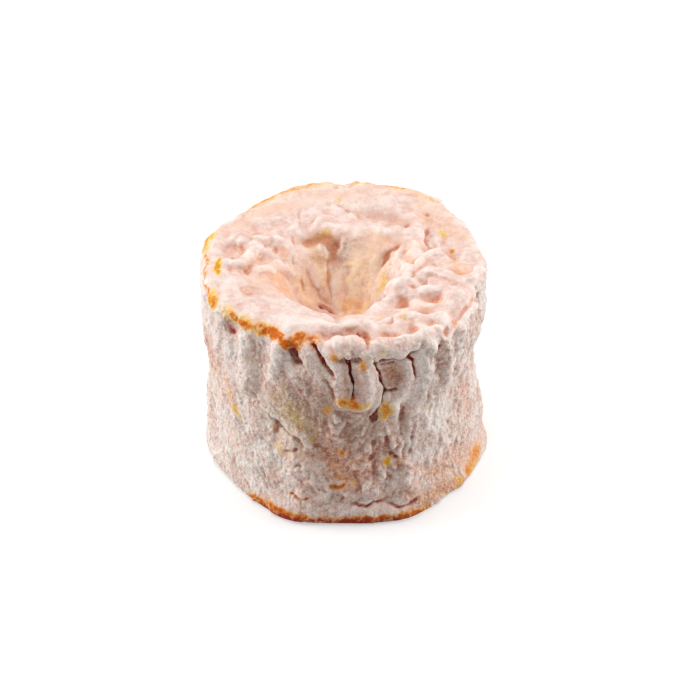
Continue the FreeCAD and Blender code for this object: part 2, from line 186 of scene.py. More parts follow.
# Thin creases.
TOP_CREASES = [
    (0.36, -0.2, SCAR),
    (0.36, -0.5, [(-27.1, 7.4), (-26.6, 5.5), (-26.8, 3.5)]),
    (0.36, -0.35, [(-30.2, 3.6), (-27.6, 2)]),
    (0.36, -0.5, [(-18.6, 7.6), (-17.8, 5.2)]),
    (0.36, -0.5, [(-26.4, -2), (-25, -3.4), (-23.6, -2.6)]),
    (0.4, -0.4, [(-29.9, -2.6), (-28.9, -6)]),
    (0.36, -0.5, [(-4.7, 8.9), (-4.5, 6.5), (-4.2, 4), (-3.6, 1.2)]),
    (0.4, -0.35, [(-10.4, 4), (-8.8, 2.6), (-6.8, 1.3), (-4.5, 0.6)]),
    (0.4, -0.4, [(-11.4, 1.2), (-10.6, 0)]),
    (0.44, -0.9, [(-7.2, -1.2), (-5, -0.5), (-3, -0.8)]),
    (0.36, -0.35, [(-12.4, 23), (-12.1, 16.5)]),
    (0.36, -0.35, [(-14.1, 13), (-13.5, 8.4)]),
    (0.36, -0.3, [(-13.9, 4.6), (-13.2, 2.6)]),
    (0.4, -0.5, [(-2.6, 24.5), (-0.2, 22.6), (2, 21.8)]),
    (0.5, -0.25, [(5.2, 21.2), (8.2, 20.6)]),
    (0.48, -0.5, [(15.5, 17.4), (16.4, 15.8)]),
    (0.48, -0.8, [(8.7, 5), (10.6, 6.4), (13.6, 8)]),
    (0.4, -0.5, [(11.2, 4), (11.6, 2.2)]),
    (0.4, -0.4, [(21, 21.3), (21.3, 20.5)]),
    (0.4, -0.8, [(21.2, 15.4), (20.8, 12.5), (20.4, 9.6), (21.4, 7.2), (22.6, 7)]),
    (0.4, -0.8, [(21, 5.5), (18.6, 2), (16.5, -3)]),
    (0.4, -0.4, [(22.4, 0.4), (22.8, -2.6)]),
    (0.36, -0.7, [(15.8, -11.2), (18.6, -11.9), (20.6, -8.8)]),
    (0.36, -0.4, [(26, -11.9), (27.8, -11.7)]),
    (0.5, -0.7, [(35.6, -7.4), (33, -13.4), (30.6, -18.5), (28, -22.4), (25.4, -25.8)]),
    (0.4, -0.56, [(12.1, -23), (11.2, -26.6)]),
    (0.4, -0.7, [(4, -29.8), (4.9, -31.4), (5.2, -36.6)]),
    (0.4, -0.4, [(2.4, 26), (2.9, 25.7)]),
    (0.4, -0.4, [(4.6, 26), (5.1, 25.7)]),
    (0.4, -0.64, [(24.8, -26.8), (24.4, -29)]),
]
WALL_FOLDS = [
    # the loop that hangs under the tongue
    (1.5, 0.5, [(-4.6, 52.6), (-3, 50), (-1.8, 45), (-1, 42), (1, 40.6)]),
    (1.8, 0.5, [(1, 40.6), (6, 40.6), (8, 43.5), (7.8, 48), (6.4, 51.6)]),
    # round the panel beside the loop, and the golden swelling under it
    (1.1, 0.5, [(24.4, 51), (24.4, 46), (22, 41.5), (19.6, 38.4), (20.6, 34), (21, 30)]),
    (1.8, 0.8, [(15.6, 39.2), (16.4, 37.2), (15.4, 34.8)]),
    # the pillars at the left
    (1.2, 0.6, [(-29, 54), (-28, 51.5), (-30, 46), (-33, 42)]),
    (1.1, 0.4, [(-60, 54), (-62, 47), (-66, 40)]),
    (0.9, 0.25, [(-55, 48), (-56, 43), (-58, 38)]),
    (0.9, 0.25, [(-47, 53), (-48, 45), (-50, 38)]),
    (0.9, 0.35, [(-62, 30), (-56, 28.5), (-53, 26), (-50.5, 23.6)]),
    (1.2, 0.35, [(-34, 31.5), (-27, 29.6), (-19, 28), (-16, 25)]),
    (1.5, 0.4, [(-9, 50), (-9.5, 44), (-12, 38)]),
    (2, 0.5, [(30, 54), (32, 48), (33, 42)]),
    (1.4, 0.5, [(40, 52), (42, 44), (43, 36)]),
    (1.2, 0.4, [(50, 54), (52, 46), (52, 38)]),
]
WALL_HOLLOWS = [
    (2.2, -0.5, [(15, 48.6), (20, 48)]),
    (1.3, -1, [(-55.6, 51.8), (-52.6, 50)]),
    (1.6, -0.15, [(23, 38), (25, 31)]),
    (1.6, -0.5, [(37, 48), (38, 42)]),
    (1.6, -0.4, [(46, 50), (47, 42)]),
    (1.2, -0.7, [(184, 59), (184.5, 55)]),
    (1.2, -0.45, [(177.6, 59), (177.6, 54)]),
]
# Skin drawn together again along the broad grooves, so that only a thin slit is left between its lips.
WALL_LIPS = [
    (4.2, 1.1, [(-41, 55), (-43, 38)]),
    (1.3, 0.8, [(-14, 56), (-10, 54), (-6, 51)]),
    (1, 1.1, [(1, 55), (2, 43)]),
    (1.1, 1.3, [(10, 53.5), (13.5, 45), (11, 35)]),
    (1.3, 0.7, [(21, 53), (27, 50), (28, 46)]),
]
WALL_SLITS = [
    (0.7, -1.7, [(-14.4, 57), (-10.4, 54.2), (-6.2, 50.6), (-4.4, 48.6)]),
    (0.8, -1.3, [(-23.8, 53.4), (-21, 51.8)]),
    (0.7, -1.2, [(-21.4, 52.2), (-19.9, 49.6)]),
    (0.42, -2.4, [(0.9, 54), (1.6, 50.9), (2.2, 45), (2.4, 42)]),
    (0.8, -1, [(-5.4, 54), (-2, 53.6), (2, 53.4), (6.6, 54)]),
    (0.5, -2, [(10, 54), (12.4, 48), (14.6, 43.6), (14.8, 41.4)]),
    (0.55, -2, [(15, 42.4), (13.6, 38.6), (12.4, 36), (10.8, 32.6)]),
    (0.6, -1.5, [(10, 52.6), (15, 52.9), (19.5, 52.1), (22.5, 52.3), (26, 53.7), (30, 54.8)]),
    (0.4, -0.8, [(13.8, 51.2), (19.2, 50.6)]),
    (0.5, -0.7, [(14.6, 42), (17.7, 42.2), (21, 42.6)]),
    (0.5, -1.4, [(23, 53), (26, 51), (27.2, 48.6), (27.4, 45.6)]),
    (0.7, -0.9, [(36.6, 52.9), (37.4, 52.6)]),
    (0.5, -0.9, [(33.4, 51.6), (33, 48.7)]),
]
WALL_CREASES = [
    (0.4, -0.7, [(-8.4, 48), (-5.6, 45), (-4.6, 41)]),
    (0.4, -0.7, [(16, 29.8), (17, 26), (18, 23)]),
    (0.4, -0.6, [(12.4, 26.4), (10, 20)]),
    (0.4, -0.4, [(21.6, 39), (24, 33), (25, 27)]),
    (0.4, -0.5, [(29, 28.4), (27, 19.6)]),
    (0.45, -0.6, [(-35, 30.6), (-28.4, 27.6), (-19.4, 26), (-17, 23.4)]),
    (0.45, -0.6, [(-31, 29), (-31, 24.4)]),
    (0.4, -0.6, [(-27, 20.4), (-19, 22.8)]),
    (0.4, -0.5, [(-39, 21.4), (-32, 19.8)]),
    (0.4, -0.4, [(-46.4, 50.2), (-44.6, 50)]),
    (0.4, -0.48, [(-33, 52.6), (-31, 52)]),
    (0.4, -0.6, [(-24, 7.8), (-19.4, 7.2), (-14.4, 8)]),
    (0.36, -0.4, [(-18.6, 7.4), (-17.8, 5.6)]),
    (0.36, -0.4, [(-12, 11.2), (-7.4, 10.6)]),
    (0.4, -0.6, [(-7, 12.6), (-3, 12), (0, 13.6)]),
    (0.4, -0.4, [(-5, 16), (-1.6, 14.6), (4, 14)]),
    *((0.4, -0.7, path) for path in FOOT_CRACKS),
    (0.36, -0.4, [(-19, 17.8), (-15, 16.4)]),
    (0.4, -0.4, [(-42, 7.4), (-38, 6.6)]),
    (0.56, -0.7, WALL_CRACK),
    (0.36, -0.5, [(0.4, 37.6), (5.6, 36.4)]),
]

# ---- the side turned away carries the same kinds of marks, strewn by chance ----
AWAY = (84, 284)  # its bearings


def strewn(seed, count, heights, run, drop, half_width, strength):
    """Short marks on the wall with a chance place, lean and size.  Each pair gives the least and the most."""
    dice = np.random.RandomState(seed)
    marks = []
    for _ in range(count):
        bearing, height = dice.uniform(*AWAY), dice.uniform(*heights)
        end = (bearing + dice.uniform(*run), max(height - dice.uniform(*drop), 0.5))
        middle = ((bearing + end[0]) / 2 + dice.uniform(-1.5, 1.5), (height + end[1]) / 2)
        marks.append((dice.uniform(*half_width), dice.uniform(*strength), [(bearing, height), middle, end]))
    return marks


BACK_PITS = strewn(61, 7, (50, 54), (-3, 3), (2, 5), (0.9, 1.5), (-1, -0.6))
BACK_CREASES = strewn(62, 16, (5, 44), (5, 16), (-3, 6), (0.5, 0.8), (-0.5, -0.3))
WALL_FOLDS += strewn(63, 13, (52, 55), (-5, 5), (8, 20), (1.1, 2), (0.4, 0.8))
WALL_HOLLOWS += strewn(64, 9, (48, 52), (-4, 4), (5, 14), (1.5, 2.4), (-0.6, -0.3))
WALL_HOLLOWS += BACK_PITS
WALL_CREASES += BACK_CREASES

# ---- stains: (half width, strength, path); some brown, rose and maroon ones are painted shade ----
TOP_STAINS = {}
TOP_STAINS["bloom"] = [
    (3.4, 0.8, [(-16, -25), (-9, -28), (-2, -26.6), (4, -25)]),
    (2.4, 0.5, [(-30, -6), (-29, -14)]),
    (4, 0.22, [(2, 6), (6, 4)]),
    (2.6, 0.35, [(-2, 14.4), (11, 13.8)]),
    (3, 0.3, [(-14, 27), (-2, 25), (12, 26)]),
]
TOP_STAINS["peach"] = [
    (5.8, 1.05, [(-19.5, -6.4), (-14, -5)]),
    (5, 0.6, [(-12, 2), (-9, -4)]),
    (1.8, 0.7, [(18.4, 8), (17, 3), (15.8, -2)]),
    (2.5, 0.6, [(6, 10), (12, 9)]),
    (3, 0.5, [(18, 22), (26, 16), (30, 10)]),
    (2.8, 0.7, [(27.6, -1), (30, -6), (32, -5)]),
    (2.4, 0.4, [(-33, 9), (-31, 13), (-27, 17), (-20, 23), (-8, 28), (8, 28)]),
    (2.2, 0.5, BACK_CELL),
    (2, 0.5, [(-17.3, 7), (-14.8, 4.2)]),
    (2, 0.5, SIDE_CELL),
    (2, 0.5, [(-26.4, -1.9), (-20, 2.8)]),
    (2.2, 0.4, [(21, -16), (19, -21)]),
]
TOP_STAINS["amber"] = [
    (5, 0.95, [(0, 5.6), (4, 5), (7.5, 3.6)]),
    (2.6, 0.8, [(-9, 9.8), (-6, 7), (-5, 3)]),
    (3, 0.5, [(-12, 2), (-9.5, -2)]),
    (3.4, 1, [(-1, 1.6), (2.4, 0.4), (6, -1)]),
    (2.6, 0.5, [(-28, 22), (-18, 31), (-8, 34.5), (8, 34.5), (18, 31), (26, 24)]),
]
TOP_STAINS["orange"] = [
    (2.3, 0.42, [(-1.2, 1.2), (1.6, 0.2), (5, -0.6)]),
    (0.9, 0.7, [(27.2, 6.4), (27.5, 5)]),
    (0.6, 0.4, [(27.4, 3.8), (27.6, 1.4)]),
    (0.7, 0.8, [(-29.4, -20.2), (-26, -23.1), (-22.4, -25.2)]),
    (0.6, 1.25, [(-21, -25.6), (-18.6, -28), (-16.8, -29.8), (-14.4, -31.8), (-11, -33.4)]),
    (0.6, 0.6, [(-12.4, -33), (-6.4, -34)]),
    (0.9, 0.5, [(-36.5, 5.6), (-36.4, 8.4)]),
    (0.5, 0.7, [(-33.5, -13), (-33, -16.4)]),
    (0.6, 0.5, [(26.7, -24.4), (26.8, -26.4)]),
    (1.6, 0.55, [(-29.6, 19.6), (-25.4, 24.8), (-18, 31), (-11, 34), (-6, 35)]),
    (1.3, 0.4, [(-6, 35), (0, 35.6), (8, 34.8)]),
    (1.6, 0.55, [(4, 35.4), (10, 34.2), (17, 31.4)]),
    (1, 0.4, [(17, 31.6), (24.6, 25.4), (30, 19)]),
]
TOP_STAINS["gold"] = [
    (1.4, 0.42, [(-27, 24), (-18.2, 31.2), (-9.4, 34.6), (-1, 35.8)]),
    (1.4, 0.4, [(-3, 35.8), (9.4, 34.4), (17, 32)]),
    (1.2, 0.22, [(14, 32.6), (25, 25.6)]),
    (1.5, 0.7, [(-36.3, 5.6), (-35.6, 10), (-34.2, 13.8)]),
    (1, 0.6, [(-31, -18.4), (-27.6, -21.6), (-22.6, -24.6), (-16.4, -29)]),
    (0.9, 1.25, [(-32.4, 1), (-32.8, -3.6), (-32.2, -7)]),
    (0.9, 1.2, [(-33.4, -12), (-33, -16.4)]),
    (1.3, 0.7, [(24, 13), (25.6, 11.8)]),
    (0.9, 0.4, [(18.6, 24.8), (19.8, 23.4)]),
    (1.1, 0.5, [(8.2, -21.8), (9.4, -23.2)]),
    (1.1, 0.45, [(13.7, -23.6), (14.5, -25)]),
    (1.5, 0.32, [(-7.4, 13.6), (-4.2, 13.2)]),
    (1.1, 0.5, [(9.4, 3.2), (10.2, 0.6), (7.6, -1)]),
    (1.1, 0.4, [(-2.6, 27.6), (-1.6, 26.2)]),
    (0.8, 0.4, [(27.2, 19), (27.4, 18)]),
    (0.8, 0.35, [(30.8, 12), (31.4, 11)]),
]
TOP_STAINS["rose"] = [
    (2.6, 0.5, [(-3, -34.6), (3, -34.6), (9, -34), (16, -32)]),
    # Painted shade, in rose, along the hollow under the rolled edge.
    (1.8, 0.45, [(-9, -31.4), (-3, -30.4), (3, -30)]),
    (1.3, 0.5, [(-24.9, -11.4), (-23.9, -11.4)]),
]
TOP_STAINS["maroon_and_foot_shadow"] = [
    (0.34, 0.8, [(-7.2, -1.2), (-3, -0.7)]),
    # Dark red of the pit, and the deepest painted shade under the rolled edge.
    (0.4, 0.8, [(2.2, -30), (3.6, -30.3), (4.9, -31.2)]),
    (0.3, 0.4, [(4.9, -31), (5.2, -37)]),
    (0.3, 0.4, [(16.3, -27.4), (16.5, -30.4)]),
    (0.4, 0.5, [(28.2, -25.8), (29.2, -24.8)]),
]
# Brown in the hollows and creases: partly bare rind, partly painted shade.
TOP_STAINS["brown"] = [
    (1.9, 1.15, [(-10.6, 11), (-8.9, 11.6), (-7.2, 12.4), (-5, 12), (-3, 10.6), (-3.8, 8.8)]),
    (1.6, 0.4, [(-8.8, 9), (-6.3, 7), (-5, 8)]),
    (1.4, 0.5, [(-10.4, 4), (-6.8, 1.3), (-4.5, 0.6)]),
    (0.8, 0.5, [(-4.7, 8.9), (-4.5, 6.5), (-4, 2.6)]),
    (1, 0.5, [(8.4, 4.8), (10.6, 6.4), (14, 8.2)]),
    (1.9, 0.42, [(4.5, 21.6), (8.4, 20.7), (12.3, 19.8), (15.8, 17)]),
    (0.9, 0.5, [(15.5, 17.4), (16.4, 15.8)]),
    (1.3, 0.7, [(13.6, -15), (14.8, -16.6)]),
    (1.3, 0.4, [(21.4, -16), (23.5, -16.2)]),
    (1.4, 0.35, [(18, -20.4), (20.6, -21.4)]),
    # Painted shade under the rolled edge over the pleats, deepest at its right end by the pit.
    (1, 0.3, [(-4, -30.2), (0, -29.8), (2, -29.6)]),
    (1, 0.5, [(1.6, -29.6), (5, -30), (5.4, -33)]),
    (1.6, 0.2, [(-10, -32.2), (-6, -31.6), (-3, -30)]),
    (1.3, 0.3, [(7, -30.8), (12.5, -30.4)]),
    (1, 0.5, [(16.3, -27), (16.5, -30.6)]),
    (0.9, 0.5, [(20.8, -27.6), (23.2, -27.2)]),
    (1.2, 0.45, [(-26, -1.8), (-24, -2.6)]),
    (1, 0.3, [(-5.6, 25.6), (-3.6, 25)]),
    (0.4, 0.28, SCAR),
]
WALL_STAINS = {}
WALL_STAINS["bloom"] = [
    (1.2, 0.9, [(-29, 55), (-28, 51.5), (-30, 46), (-34, 41)]),
    (1.2, 0.8, [(-60, 54), (-62, 47), (-66, 38)]),
    (1, 0.6, [(-47, 53), (-48, 45), (-51, 36)]),
    (3, 0.6, [(-60, 22), (-50, 14)]),
    (2, 0.6, [(-36, 20), (-34, 14)]),
    (1.2, 0.7, [(20.4, 40), (21.6, 35), (21, 30)]),
    (1.2, 0.5, [(24.6, 52), (24.4, 44)]),
    (2.6, 0.6, [(32, 52), (33, 44)]),
    (4.4, 0.8, [(33, 38), (38, 26)]),
    (2.6, 0.6, [(44, 52), (46, 30)]),
    (1.1, 0.8, [(9, 40), (9.4, 46), (7.4, 54)]),
    (0.8, 0.6, [(-5.4, 54), (-3.6, 48), (-1.8, 42.6)]),
    (7, 0.28, [(-74, 50), (-73, 20)]),
    (6, 0.4, [(-50, 46), (-50, 30)]),
    *strewn(76, 12, (20, 54), (-6, 6), (6, 16), (1, 2.4), (0.4, 0.8)),
]
WALL_STAINS["peach"] = [
    (5, 0.6, [(35, 12), (60, 8)]),
    (2.4, 0.9, [(40, 4.6), (46, 5.6)]),
    (2.4, 0.9, [(20, 2.2), (30, 2.2), (42, 1.6)]),
    (4, 0.4, [(-10, 20), (8, 18)]),
    (1.8, 0.6, [(-60, 35), (-56, 30), (-51, 24)]),
    (2.2, 0.5, [(-58, 18), (-54, 12)]),
    (2.4, 0.5, [(-27, 21), (-16, 22), (-10, 20)]),
    (3, 0.35, [(-78, 44), (-72, 34)]),
    (4, 1, [(58, 4), (72, 6)]),
    (2.6, 0.9, [(30, 3.4), (44, 3.6), (56, 3)]),
]
WALL_STAINS["orange"] = [
    (0.6, 1.3, [(-35, 56.6), (-30, 56), (-25, 56), (-20, 57), (-16, 57.6)]),
    (0.55, 1.1, [(-52, 55.6), (-46, 54.8), (-42, 55.4), (-36, 56.6)]),
    (0.5, 0.7, [(-18, 57.6), (-10, 57.2)]),
    (1.3, 1.15, [(-2.8, 23.4), (-1.2, 22.8)]),
    (0.9, 0.4, [(-32.4, 27), (-31.2, 25.6)]),
    (1.4, 0.65, [(16.6, 38.8), (16.2, 35)]),
    (0.9, 1, [(-6.6, 38.2), (-8.6, 35.6)]),
    (1.2, 0.8, [(-2.6, 42.2), (0.6, 40.8), (6, 40.2)]),
    (1.1, 0.6, [(-5.8, 54.6), (-2.4, 54.2)]),
    (0.9, 0.65, [(6.4, 54.2), (6, 51.4)]),
    (2.4, 0.6, [(56, 2.6), (66, 5), (76, 4)]),
    (1.2, 0.5, [(46, 1.6), (60, 2.4)]),
    (0.8, 0.7, [(-7, 12.8), (-3, 12), (0, 13.4)]),
    (0.8, 0.5, [(-5, 15.8), (-2, 14.8), (4, 14)]),
    (0.8, 0.7, [(-24, 7.6), (-19, 7.2), (-14, 8)]),
    (0.9, 0.5, [(4, 2.8), (12, 2.8), (22, 2.2)]),
    (1.4, 1.6, [(-42, 1.6), (-36, 2.1), (-32, 2.5), (-27, 2.2), (-12, 1.8)]),
    (1.3, 1.5, [(-14, 1.8), (6, 1.8), (20, 1.6), (34, 1.2)]),
    (1, 0.4, [(21.8, 20), (22.8, 17.2)]),
    (2, 0.35, [(-6, 20), (4, 12)]),
    *strewn(71, 9, (4, 40), (-4, 4), (-2, 2), (0.7, 1.3), (0.5, 0.8)),
    (1.2, 0.7, [(82, 1.5), (130, 1.2), (180, 1.6)]),
    (1.3, 0.75, [(180, 1.2), (230, 1.5), (270, 1.2)]),
    (0.6, 0.7, [(240, 56), (270, 56.4), (300, 56)]),
]
WALL_STAINS["gold"] = [
    (0.9, 0.45, [(-56, 55.6), (-50, 55.8)]),
    (1, 0.35, [(-5.6, 54.8), (-3.8, 54.2), (-1.6, 55)]),
    (1, 0.4, [(6.6, 55), (6, 51.6)]),
    (1.2, 0.8, [(-2.4, 42), (0.4, 40.8), (3, 40.4)]),
    (1.1, 0.6, [(2, 40.6), (6, 40), (9.4, 40.6)]),
    (1.5, 0.9, [(17, 39), (16.4, 36), (15, 33)]),
    (1.1, 0.5, [(-6.6, 38.2), (-9.4, 35)]),
    (0.9, 0.55, [(-54.6, 27.6), (-50.6, 23.4)]),
    (0.9, 0.35, [(-62, 29.6), (-55, 27.6)]),
    (1.2, 0.6, [(34.4, 34.4), (35.2, 32.6)]),
    (1.1, 1, [(16.4, 19.6), (18.4, 18.6)]),
    (0.8, 0.6, [(3, 14.2), (3.6, 13.2)]),
    (1, 0.8, [(52, 3.4), (54, 3)]),
    (1.1, 0.7, [(60, 1.6), (66, 2.4), (70, 2)]),
    (1.2, 0.35, [(12.6, 56), (15.4, 55.2)]),
    (1.2, 0.5, [(-14.8, 27), (-13.2, 26.2)]),
    (1.3, 0.35, [(-30.4, 22), (-27.6, 19.6)]),
    *strewn(72, 12, (6, 50), (-4, 4), (-1, 4), (0.7, 1.3), (0.4, 0.9)),
    (0.9, 0.35, [(146, 56.4), (164, 56), (178, 56.6)]),
    (1.1, 0.3, [(182, 56.8), (206, 56)]),
]
WALL_STAINS["rose"] = [
    (8, 0.8, [(-14, 22), (-6, 26), (4, 17), (14, 22)]),
    (5, 0.4, [(20, 12), (32, 9)]),
    (6, 0.4, [(-20, 12), (-8, 8)]),
    (4, 0.5, [(14, 46), (20, 47)]),
    (2.6, 0.6, [(-4, 53), (-1, 44), (2, 40), (7, 44), (7, 53)]),
    (5, 0.4, [(-38, 44), (-34, 38)]),
    (6, 0.3, [(60, 30), (66, 20)]),
    *strewn(73, 7, (12, 40), (5, 20), (-6, 12), (4, 7), (0.4, 0.8)),
]
WALL_STAINS["dusk"] = [
    (9, 0.95, [(-22, 42), (-8, 38), (4, 30), (12, 27)]),
    (6, 0.5, [(10, 46), (18, 46)]),
    (2.2, 0.3, [(-42, 48), (-38, 42)]),
    (4, 0.5, [(-31, 42), (-27, 33)]),
    (2, 0.5, [(-56, 52.2), (-52, 51.6)]),
    (3, 0.3, [(38, 44), (38, 36)]),
    *strewn(74, 5, (24, 46), (5, 20), (0, 12), (5, 8), (0.3, 0.6)),
]
WALL_STAINS["olive"] = [
    (3.6, 0.8, [(-27, 36), (-21, 32), (-16, 28)]),
    (6, 0.3, [(-32, 34), (-22, 24)]),
    (1.8, 0.5, [(-26.6, 41.2), (-25.4, 39.8)]),
    (2, 0.4, [(-30, 21.4), (-28, 20)]),
    (3.2, 0.35, [(-78, 36), (-74, 26)]),
    (2, 0.3, [(-44, 46), (-44, 44.6)]),
    (1.8, 0.5, [(34, 3), (44, 3.4)]),
    *strewn(75, 6, (14, 42), (-6, 6), (0, 8), (1.8, 3.5), (0.3, 0.7)),
]
WALL_STAINS["maroon_and_foot_shadow"] = [
    # Painted shadow: a dark band along the foot, where the wheel meets the floor.
    (1.3, 1.8, [(-44, 0), (-20, 0.7), (-6, 1), (8, 0.9), (30, 0)]),
    (0.55, 0.75, [(-24, 53.4), (-21, 51.8)]),
    (0.5, 0.85, [(-21.4, 52.2), (-19.8, 49.8)]),
    (0.8, 1.1, [(-14.6, 57), (-10.4, 54.2), (-6, 50.6), (-4.4, 48.6)]),
    (0.5, 1.1, [(0.9, 54), (1.6, 50.9), (2.4, 45), (2.4, 41.8)]),
    (0.6, 0.9, [(2.3, 44), (2.4, 42)]),
    (0.6, 1, [(10, 54), (12.4, 48), (14.6, 43.6), (14.8, 41.2)]),
    (0.5, 1, [(15, 42.2), (13.6, 38.6), (12.4, 36), (11, 33.4)]),
    (0.5, 0.6, [(10, 52.6), (15, 52.9), (19.5, 52.1), (22.5, 52.3)]),
    (0.45, 0.5, [(14.6, 42), (17.7, 42.2), (21.4, 42.6)]),
    (0.6, 0.9, [(23, 53), (26, 51), (27.2, 48.6), (27.4, 45.2)]),
    (0.8, 0.8, [(-55.4, 51.6), (-52.8, 50)]),
    (0.6, 0.7, [(36.4, 53), (37.6, 52.5)]),
    (0.3, 0.8, [(-24, 7.6), (-19, 7.2), (-14, 8)]),
    *((0.24, 0.75, path) for path in FOOT_CRACKS),
    (0.45, 0.7, WALL_CRACK),
    (0.35, 0.5, [(16, 29.6), (18, 23)]),
    (0.35, 0.5, [(-7, 12.6), (-3, 12), (0, 13.4)]),
]
# Brown along the slits, creases, hollows and pits: partly bare rind, partly painted shade at their edges.
WALL_STAINS["brown"] = [
    (1, 0.55, [(-14.4, 57), (-10.4, 54.3), (-6, 51)]),
    (0.9, 0.6, [(1, 53.6), (1.6, 50.9), (2.4, 42)]),
    (1, 0.6, [(10, 54), (12.4, 48), (14.8, 42), (11.6, 32.6)]),
    (0.9, 0.5, [(23, 53), (27.2, 48.6), (27.4, 45)]),
    (1.4, 0.5, [(1, 37.6), (5, 36.6)]),
    (2.4, 0.45, [(16.5, 29), (18, 23), (20, 20)]),
    (1.6, 0.45, [(12, 26), (10, 20)]),
    (3, 0.55, [(14, 49), (20, 48.6), (19.6, 44.8)]),
    (1.6, 0.4, [(0.4, 53), (1.6, 43)]),
    (1.8, 0.2, [(23, 38), (25, 30)]),
    (1.6, 0.5, [(-55, 52), (-51, 51.4)]),
    (1.4, 0.4, [(24.6, 8.8), (27.4, 8)]),
    (1.2, 0.45, [(-31, 28), (-31, 25)]),
    (1, 0.4, [(48.8, 9.6), (49.2, 8.2)]),
    (2.4, 0.8, [(27, 2.6), (40, 3.4), (52, 2.6)]),
    (2, 0.4, [(-12, 24), (-4, 20), (2, 26)]),
    (1.6, 0.4, [(2, 16), (6, 22)]),
    (1.2, 0.35, [(-8.8, 48), (-4.8, 41.4)]),
    *((1, 0.35, path) for _, _, path in BACK_CREASES),
    *((1.1, 0.6, path) for _, _, path in BACK_PITS),
]


# ---- numbers on the skin ----


def ease(share):
    """A smooth step from 0 to 1."""
    share = np.clip(share, 0.0, 1.0)
    return share * share * (3.0 - 2.0 * share)


def above(values, start, over):
    """0 up to a start, then rising smoothly to 1 over the stretch beyond it."""
    return ease((values - start) / over)


def below(values, end, over):
    """1, then falling smoothly to 0 over the stretch before an end."""
    return ease((end - values) / over)


def gradient_noise(places, seed):
    """Smooth noise between about -1 and 1, with features about one unit across."""
    table = np.random.RandomState(seed).normal(size=(4096, 3))
    table /= np.linalg.norm(table, axis=1)[:, None]
    cell = np.floor(places).astype(np.int64)
    local = places - cell
    fade = local ** 3 * (local * (local * 6.0 - 15.0) + 10.0)
    total = np.zeros(len(places))
    for corner in np.ndindex(2, 2, 2):
        at = cell + corner
        mixed = (at[:, 0] * 73856093) ^ (at[:, 1] * 19349663) ^ (at[:, 2] * 83492791)
        mixed ^= mixed >> 13
        slope = table[mixed & 4095]
        weight = np.prod(np.where(corner, fade, 1.0 - fade), axis=1)
        total += weight * np.einsum("ij,ij->i", slope, local - corner)
    return total * 1.6


def warped(places, size, amount, seed):
    """Places pushed about by slow noise, so that what is drawn on them wanders."""
    push = [gradient_noise(places / size, seed + axis) for axis in range(3)]
    return places + amount * np.stack(push, axis=1)


def billows(places, wrinkles):
    """Round swellings parted by creases."""
    noise = gradient_noise(places / wrinkles.size, wrinkles.seed)
    return wrinkles.lift * (2.0 * np.sqrt(noise ** 2 + wrinkles.softness ** 2) - 0.7)


def along_path(across, up, path):
    """Each place's distance from a path of straight stretches, and how far along it the nearest point is."""
    lengths = [math.dist(a, b) for a, b in zip(path, path[1:])]
    nearest = np.full(len(across), np.inf)
    along = np.zeros(len(across))
    passed = 0.0
    for (ax, ay), (bx, by), length in zip(path, path[1:], lengths):
        dx, dy = bx - ax, by - ay
        share = np.clip(((across - ax) * dx + (up - ay) * dy) / length ** 2, 0.0, 1.0)
        away = np.hypot(across - ax - share * dx, up - ay - share * dy)
        along = np.where(away < nearest, (passed + share * length) / sum(lengths), along)
        nearest = np.minimum(nearest, away)
        passed += length
    return nearest, along


def tapered(along, least):
    """Falls from 1 in the middle of a path to the least value at its ends."""
    return least + (1.0 - least) * ease(6.4 * along * (1.0 - along))


def hump(away):
    """A bell: 1 on the path and almost nothing two half widths away."""
    return np.exp(-away ** 2)


def pillow(away):
    """A swollen fold, round on its crown and creased where it meets the skin."""
    return np.sqrt(np.maximum(1.0 - (away / 1.5) ** 2, 0.0)) * 0.6 + 0.4 * hump(away)


class Skin:
    """The rind's mesh as arrays, in millimetres."""

    def __init__(self, mesh):
        self.mesh = mesh
        count = len(mesh.vertices)
        flat = np.empty(count * 3)
        mesh.vertices.foreach_get("co", flat)
        self.places = flat.reshape(-1, 3) / MM
        corners = np.empty(len(mesh.loops), np.int64)
        mesh.loops.foreach_get("vertex_index", corners)
        self.quads = corners.reshape(-1, 4)
        links = np.empty(len(mesh.edges) * 2, np.int64)
        mesh.edges.foreach_get("vertices", links)
        self.links = links.reshape(-1, 2)
        self.neighbours = np.maximum(np.bincount(self.links.ravel(), minlength=count), 1)

    def softened(self, rounds):
        """The places, drawn halfway to the mean of their neighbours round after round."""
        a, b = self.links.T
        columns = []
        for values in self.places.T:
            for _ in range(rounds):
                total = np.bincount(a, values[b], len(values)) + np.bincount(b, values[a], len(values))
                values = 0.5 * values + 0.5 * total / self.neighbours
            columns.append(values)
        return np.stack(columns, axis=1)

    def normals(self):
        """Unit normals of the vertices."""
        p = self.places[self.quads]
        face = np.cross(p[:, 2] - p[:, 0], p[:, 3] - p[:, 1])
        total = np.zeros_like(self.places)
        for axis in range(3):
            total[:, axis] = np.bincount(self.quads.ravel(), np.repeat(face[:, axis], 4), len(total))
        return total / np.maximum(np.linalg.norm(total, axis=1), 1e-9)[:, None]

    def push(self, lift, steps=1):
        """Moves every vertex along its normal, a step at a time, so that tall folds swell sideways too."""
        for _ in range(steps):
            self.places += self.normals() * (lift / steps)[:, None]

    def write(self):
        """Puts the places back into the mesh, in metres."""
        self.mesh.vertices.foreach_set("co", (self.places * MM).ravel())
        self.mesh.update()

    def store(self, name, values):
        """Keeps a number from 0 to 1 for each vertex, for the rind's material to read."""
        layer = self.mesh.attributes.new(name, "FLOAT", "POINT")
        layer.data.foreach_set("value", np.clip(values, 0.0, 1.0).astype(np.float32))


